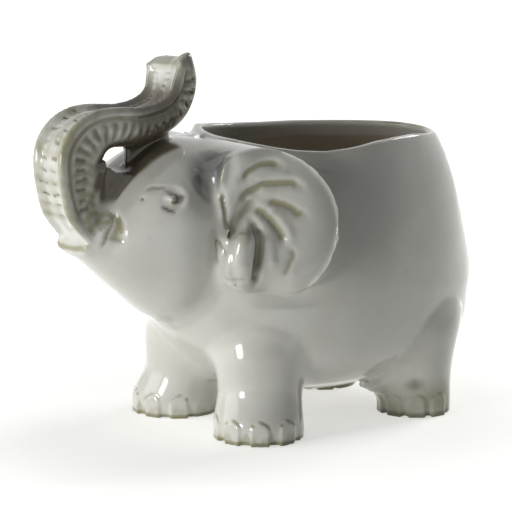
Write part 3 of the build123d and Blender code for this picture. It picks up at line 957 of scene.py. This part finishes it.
class PLANTER_OT_shape_feet(bpy.types.Operator):
    """Press the toenails and leave the soles bare"""

    bl_idname = "planter.shape_feet"
    bl_label = "Shape the feet"

    def execute(self, context):
        skin = MODEL["skin"]
        for index, (foot_x, foot_y) in enumerate(FEET):
            at_rear = index > 1
            radius = REAR_RADIUS if at_rear else FRONT_RADIUS
            across = (skin.points[:, 0] - foot_x) * np.sign(foot_x)
            ahead = -(skin.points[:, 1] - foot_y)
            up = skin.points[:, 2]
            turn = np.degrees(np.arctan2(across, ahead))
            away = np.hypot(across, ahead)
            foot = (up < 22.0) & (away < radius + 5.0) & (away > radius - 6.0)
            sponged = (turn > -85.0) & (turn < 118.0) & (up > 1.5)
            skin.smooth(6, 0.8 * (foot & sponged))

            rise = np.zeros(len(up))
            if at_rear:
                inward = np.clip(0.8 * ahead - 0.6 * across, 0.0, None) / np.maximum(away, 1.0)
                bulge = 4.6 * inward * eased(up, 5.0, 15.0) * faded(up, 20.0, 36.0)
                rise += np.where(away < radius + 9.0, bulge, 0.0)
            seam = np.minimum.reduce([np.abs(turn - gap) for gap in NAIL_GAPS])
            scallop = ridge(np.radians(seam) * radius, 3.6) * foot
            rise -= 0.55 * scallop * faded(up, 2.0, 11.0)
            nails, outline = pressed_nails(turn, up, radius, foot)
            skin.push(rise + nails)

            ragged = waves(turn, 2.4, (1.6, 0.21, index), (0.8, 0.57, 0.0))
            wash = 0.6 if at_rear else 0.16
            skin.stain("broken", outline * 0.8)
            skin.stain("oxide", outline * 0.35)
            skin.stain("broken", foot * 0.5 * faded(up, ragged, ragged + 5.0))
            skin.stain("broken", foot * faded(up, 1.2, 2.8))
            skin.stain("broken", (away < radius + 5.0) * wash * faded(up, 9.0, 27.0))
        for side in SIDES:
            flare = from_spot(skin.points, np.array((side, 1.0, 1.0)) * FLARE_CENTRE, FLARE_SIZE)
            skin.smooth(14, faded(flare, 0.7, 1.2))

        x, y, z = skin.points.T
        skin.stain("bare", faded(z, 0.05, 0.45))
        base = ridge(z - 18.6, 2.4) * (np.hypot(x / 42.0, (y - 12.0) / 62.0) < 1.0)
        for index, (foot_x, foot_y) in enumerate(FEET):
            base *= eased(np.hypot(x - foot_x, y - foot_y), 23.0, 27.0)
            if index > 1:
                # Painted shade in the crease ahead of each rear leg, where the belly's flare meets
                # it
                ahead_of_leg = (foot_x * 1.38, foot_y - 12.5, 17.0)
                shade = 0.6 * ridge(from_spot(skin.points, ahead_of_leg, (7.0, 7.0, 5.0)), 1.6)
                skin.stain("oxide", shade)
                skin.stain("broken", shade)
        skin.stain("broken", base)
        return {"FINISHED"}


# Glaze also breaks where the skin bends out: how far the bend is evened out, the
# bends in millimetres between which the glaze breaks, and how strongly
BEND_ROUNDS, BEND_RANGE, BEND_STRENGTH = 6, (0.04, 0.10), 0.6


class PLANTER_OT_glaze_body(bpy.types.Operator):
    """Fire the body with its glaze"""

    bl_idname = "planter.glaze_body"
    bl_label = "Glaze the body"

    def execute(self, context):
        skin = MODEL["skin"]
        bend = ((skin.points - skin.spread(skin.points)) * skin.normals()).sum(axis=1)
        for _ in range(BEND_ROUNDS):
            bend = skin.spread(bend)
        skin.stain("broken", BEND_STRENGTH * eased(bend, *BEND_RANGE))
        mesh = bpy.data.meshes.new(BODY_NAME)
        mesh.from_pydata((skin.points * MM).tolist(), [], skin.quads.tolist())
        for name, values in skin.masks.items():
            layer = mesh.attributes.new(name, "FLOAT", "POINT")
            layer.data.foreach_set("value", values.astype(np.float32))
        mesh.shade_smooth()
        body = bpy.data.objects.new(BODY_NAME, mesh)
        context.scene.collection.objects.link(body)
        mesh.materials.append(glaze_material(context.scene.planter_glaze))
        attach(body, "root")
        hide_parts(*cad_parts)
        return {"FINISHED"}


# Materials


class Value:
    """A socket that takes part in arithmetic by adding Math nodes."""

    def __init__(self, tree, socket):
        self.tree = tree
        self.socket = socket

    def _math(self, operation, *others):
        node = self.tree.nodes.new("ShaderNodeMath")
        node.operation = operation
        for slot, item in zip(node.inputs, others):
            if isinstance(item, Value):
                self.tree.links.new(item.socket, slot)
            else:
                slot.default_value = item
        return Value(self.tree, node.outputs[0])

    def __add__(self, other):
        return self._math("ADD", self, other)

    def __radd__(self, other):
        return self._math("ADD", other, self)

    def __sub__(self, other):
        return self._math("SUBTRACT", self, other)

    def __rsub__(self, other):
        return self._math("SUBTRACT", other, self)

    def __mul__(self, other):
        return self._math("MULTIPLY", self, other)

    def __rmul__(self, other):
        return self._math("MULTIPLY", other, self)

    def most(self, other):
        return self._math("MAXIMUM", self, other)


class Recipe:
    """Builds the nodes of one material, or of the room."""

    def __init__(self, owner):
        owner.use_nodes = True
        self.tree = owner.node_tree
        self.tree.nodes.clear()

    def add(self, kind, settings=None, **sockets):
        """A node of a kind, with its settings first and then its sockets."""
        node = self.tree.nodes.new(kind)
        for name, value in (settings or {}).items():
            setattr(node, name, value)
        for name, value in sockets.items():
            self.feed(node.inputs[name.replace("_", " ")], value)
        return node

    def feed(self, slot, value):
        """Links an input to a value or a socket, or sets it to a number or colour."""
        if isinstance(value, Value):
            self.tree.links.new(value.socket, slot)
        elif isinstance(value, bpy.types.NodeSocket):
            self.tree.links.new(value, slot)
        else:
            slot.default_value = value

    def value(self, kind, output, settings=None, **sockets):
        """One output of a new node."""
        return Value(self.tree, self.add(kind, settings, **sockets).outputs[output])

    def noise(self, place, scale, detail, roughness):
        sockets = {"Vector": place, "Scale": scale, "Detail": detail, "Roughness": roughness}
        return self.value("ShaderNodeTexNoise", "Fac", {"noise_dimensions": "3D"}, **sockets)

    def mask(self, name):
        """One of the masks that the tools left on the skin."""
        return self.value("ShaderNodeAttribute", "Fac", {"attribute_name": name})

    def span(self, value, low, high, to_low=0.0, to_high=1.0):
        """A smooth change from to_low to to_high, while a value goes from low to high."""
        node = self.add("ShaderNodeMapRange", {"interpolation_type": "SMOOTHSTEP"})
        for slot, item in zip(node.inputs, (value, low, high, to_low, to_high)):
            self.feed(slot, item)
        return Value(self.tree, node.outputs[0])

    def blend(self, share, under, over):
        """A colour laid over another by a share."""
        node = self.add("ShaderNodeMix", {"data_type": "RGBA"})
        self.feed(node.inputs[0], share)
        self.feed(node.inputs[6], under)
        self.feed(node.inputs[7], over)
        return node.outputs[2]

    def seen(self):
        """1 on what the camera sees, straight or mirrored, and 0 in other light."""
        rays = self.add("ShaderNodeLightPath").outputs
        names = ("Is Camera Ray", "Is Glossy Ray", "Is Transmission Ray")
        straight, mirrored, through = (Value(self.tree, rays[name]) for name in names)
        return straight.most(mirrored).most(through)

    def choose(self, share, first, second):
        """The first shader where the share is 0 and the second where it is 1."""
        node = self.add("ShaderNodeMixShader")
        for slot, item in zip(node.inputs, (share, first, second)):
            self.feed(slot, item)
        return node.outputs[0]

    def output(self, kind, shader):
        self.feed(self.add(kind).inputs["Surface"], shader)


# Clouds and ripples in the glaze, as scale, detail and roughness of the noise
CLOUD = (38.0, 4.0, 0.55)
RIPPLE = (160.0, 3.0, 0.5)
SPECK_SCALE = 420.0

RELIEF_STRENGTH, RELIEF_HEIGHT = 0.25, 0.0006
GLASS_IOR = 1.5
CLAY_ROUGHNESS = 0.8


def glaze_material(colours):
    """Off-white glaze that breaks olive and brown by the masks, with shade painted in by them too,
    and the bare clay.
    """
    material = bpy.data.materials.new("stoneware_glaze")
    make = Recipe(material)
    place = make.add("ShaderNodeTexCoord").outputs["Object"]
    cloud = make.noise(place, *CLOUD)
    ripple = make.noise(place, *RIPPLE)
    speck = {"Vector": place, "Scale": SPECK_SCALE}
    speck = make.value("ShaderNodeTexVoronoi", "Distance", {"voronoi_dimensions": "3D"}, **speck)
    # The olive and brown masks also carry painted shade; the grey mask is painted shade only
    broken, oxide, bare, pooled = map(make.mask, ("broken", "oxide", "bare", "pooled"))
    uneven = make.span(cloud, 0.3, 0.7, -0.12, 0.12)
    thin_glaze_and_shade = make.span(broken * (0.86 + uneven * 2.2), 0.02, 0.8)
    deep = make.span(oxide * (0.9 + uneven * 2.0), 0.08, 0.85)
    freckles = (1 - make.span(speck, 0.05, 0.16)) * make.span(cloud, 0.55, 0.75)
    tint = make.span(cloud, 0.25, 0.75, 0.0, 0.16)
    colour = make.blend(tint, tuple(colours.glaze), tuple(colours.broken))
    # Painted shade, grey, in the temple hollows, behind the ears and on their rolled edges
    colour = make.blend(pooled * 0.9, colour, tuple(colours.pooled))
    colour = make.blend(freckles * 0.10, colour, tuple(colours.oxide))
    colour = make.blend(thin_glaze_and_shade * 0.85, colour, tuple(colours.broken))
    colour = make.blend(deep * 0.9, colour, tuple(colours.oxide))
    colour = make.blend(bare, colour, tuple(colours.clay))
    height = ripple * 0.35 + cloud * 0.65
    relief = make.add(
        "ShaderNodeBump", None, Strength=RELIEF_STRENGTH, Distance=RELIEF_HEIGHT, Height=height
    )
    rough = make.span(ripple, 0.3, 0.7, colours.gloss - 0.03, colours.gloss + 0.05)
    rough = rough * (1 - bare) + bare * CLAY_ROUGHNESS
    shader = make.add("ShaderNodeBsdfPrincipled", None, IOR=GLASS_IOR)
    make.feed(shader.inputs["Base Color"], colour)
    make.feed(shader.inputs["Roughness"], rough)
    make.feed(shader.inputs["Normal"], relief.outputs[0])
    make.output("ShaderNodeOutputMaterial", shader.outputs[0])
    return material


# Glow of the pale floor as the camera sees it, weaker near the planter so that it
# paints a soft shade round it: distances from the planter's middle in metres, and the strengths
# there
FLOOR_GLOW = (0.09, 0.27, 0.55, 1.0)
GLOW_COLOUR = (1.0, 1.0, 0.985, 1.0)


def floor_material(colour):
    """Matt floor that the camera sees nearly white away from the planter, with a painted shade
    round the planter.
    """
    material = bpy.data.materials.new("pale_floor")
    make = Recipe(material)
    place = make.add("ShaderNodeTexCoord").outputs["Object"]
    away = make.value("ShaderNodeVectorMath", "Value", {"operation": "LENGTH"}, Vector=place)
    matt = make.add("ShaderNodeBsdfDiffuse", None, Color=tuple(colour)).outputs[0]
    strength = make.span(away, *FLOOR_GLOW)
    glow = make.add("ShaderNodeEmission", None, Color=GLOW_COLOUR, Strength=strength)
    both = make.add("ShaderNodeAddShader")
    make.feed(both.inputs[0], matt)
    make.feed(both.inputs[1], glow.outputs[0])
    shader = make.choose(make.seen(), matt, both.outputs[0])
    make.output("ShaderNodeOutputMaterial", shader)
    return material


# The stage is in metres, and the camera's lens and sensor are in millimetres
CAMERA_PLACE = Vector((1.03366, -0.77204, 0.31869))
CAMERA_TARGET = Vector((-0.03195, 0.0203, 0.07615))
CAMERA_LENS, CAMERA_SENSOR, CAMERA_FAR = 180.3, 36.0, 50.0

FLOOR_HALF = 6.0
MIDDLE = (0.0, 0.0, 0.09)

# Square soft lights: name, its setting, place, target, size, seen by the camera
LIGHTS = (
    ("key_light", "key", (-0.6, -1.05, 0.35), MIDDLE, 0.9, True),
    ("face_light", "face", (0.12, -1.27, 0.2), MIDDLE, 0.3, True),
    ("rim_light", "rim", (-0.12, 1.02, 0.85), MIDDLE, 0.5, True),
    ("floor_light", "floor_light", (0.0, -0.05, 0.002), (0.0, -0.05, 1.0), 0.8, False),
)


def placed(context, name, data, place, target):
    """A new object at a place, which looks at a target."""
    item = bpy.data.objects.new(name, data)
    context.scene.collection.objects.link(item)
    item.location = place
    item.rotation_euler = (Vector(target) - Vector(place)).to_track_quat("-Z", "Y").to_euler()
    return item


class PLANTER_OT_set_stage(bpy.types.Operator):
    """Set the floor, the lights and the camera"""

    bl_idname = "planter.set_stage"
    bl_label = "Set the stage"

    def execute(self, context):
        studio = context.scene.planter_studio
        floor = bpy.data.meshes.new("floor")
        corners = [(-1, -1), (1, -1), (1, 1), (-1, 1)]
        corners = [(x * FLOOR_HALF, y * FLOOR_HALF, 0) for x, y in corners]
        floor.from_pydata(corners, [], [(0, 1, 2, 3)])
        floor.materials.append(floor_material(studio.floor))
        floor_object = bpy.data.objects.new("floor", floor)
        context.scene.collection.objects.link(floor_object)
        for name, setting, place, target, size, seen in LIGHTS:
            light = bpy.data.lights.new(name, "AREA")
            light.shape = "SQUARE"
            light.size = size
            light.energy = getattr(studio, setting)
            placed(context, name, light, place, target).visible_camera = seen

        # A dim room lights the planter, and the camera sees it white
        world = bpy.data.worlds.new("room")
        context.scene.world = world
        make = Recipe(world)
        white = (1.0, 1.0, 1.0, 1.0)
        dim, bright = (
            make.add("ShaderNodeBackground", None, Color=white, Strength=strength).outputs[0]
            for strength in (studio.room, 1.0)
        )
        make.output("ShaderNodeOutputWorld", make.choose(make.seen(), dim, bright))

        camera = bpy.data.cameras.new("camera")
        camera.lens = CAMERA_LENS
        camera.sensor_width = CAMERA_SENSOR
        camera.clip_end = CAMERA_FAR
        context.scene.camera = placed(context, "camera", camera, CAMERA_PLACE, CAMERA_TARGET)
        context.scene.view_settings.view_transform = "Standard"
        return {"FINISHED"}


class PLANTER_PT_panel(bpy.types.Panel):
    """Steps of the planter in the 3D view's sidebar"""

    bl_idname = "PLANTER_PT_panel"
    bl_label = "Elephant planter"
    bl_space_type = "VIEW_3D"
    bl_region_type = "UI"
    bl_category = "Planter"

    def draw(self, context):
        scene = context.scene
        for title, group in (
            ("Clay", scene.planter_clay),
            ("Glaze", scene.planter_glaze),
            ("Studio", scene.planter_studio),
        ):
            box = self.layout.box()
            box.label(text=title)
            for name in group.__annotations__:
                box.prop(group, name)
        column = self.layout.column()
        for step in STEPS:
            column.operator(step.bl_idname)


STEPS = (
    PLANTER_OT_join_body,
    PLANTER_OT_cut_rim,
    PLANTER_OT_rib_trunk,
    PLANTER_OT_fold_ears,
    PLANTER_OT_shape_face,
    PLANTER_OT_shape_feet,
    PLANTER_OT_glaze_body,
    PLANTER_OT_set_stage,
)
GROUPS = (
    ("planter_clay", ClaySizes),
    ("planter_glaze", GlazeColours),
    ("planter_studio", StudioSettings),
)


def register():
    for name, group in GROUPS:
        bpy.utils.register_class(group)
        setattr(bpy.types.Scene, name, PointerProperty(type=group))
    for cls in (*STEPS, PLANTER_PT_panel):
        bpy.utils.register_class(cls)


def unregister():
    for cls in reversed((*STEPS, PLANTER_PT_panel)):
        bpy.utils.unregister_class(cls)
    for name, group in reversed(GROUPS):
        delattr(bpy.types.Scene, name)
        bpy.utils.unregister_class(group)


def main():
    """Builds the planter step by step."""
    register()
    bpy.ops.planter.join_body()
    bpy.ops.planter.cut_rim()
    bpy.ops.planter.rib_trunk()
    bpy.ops.planter.fold_ears()
    bpy.ops.planter.shape_face()
    bpy.ops.planter.shape_feet()
    bpy.ops.planter.glaze_body()
    bpy.ops.planter.set_stage()


if __name__ == "__main__":
    main()
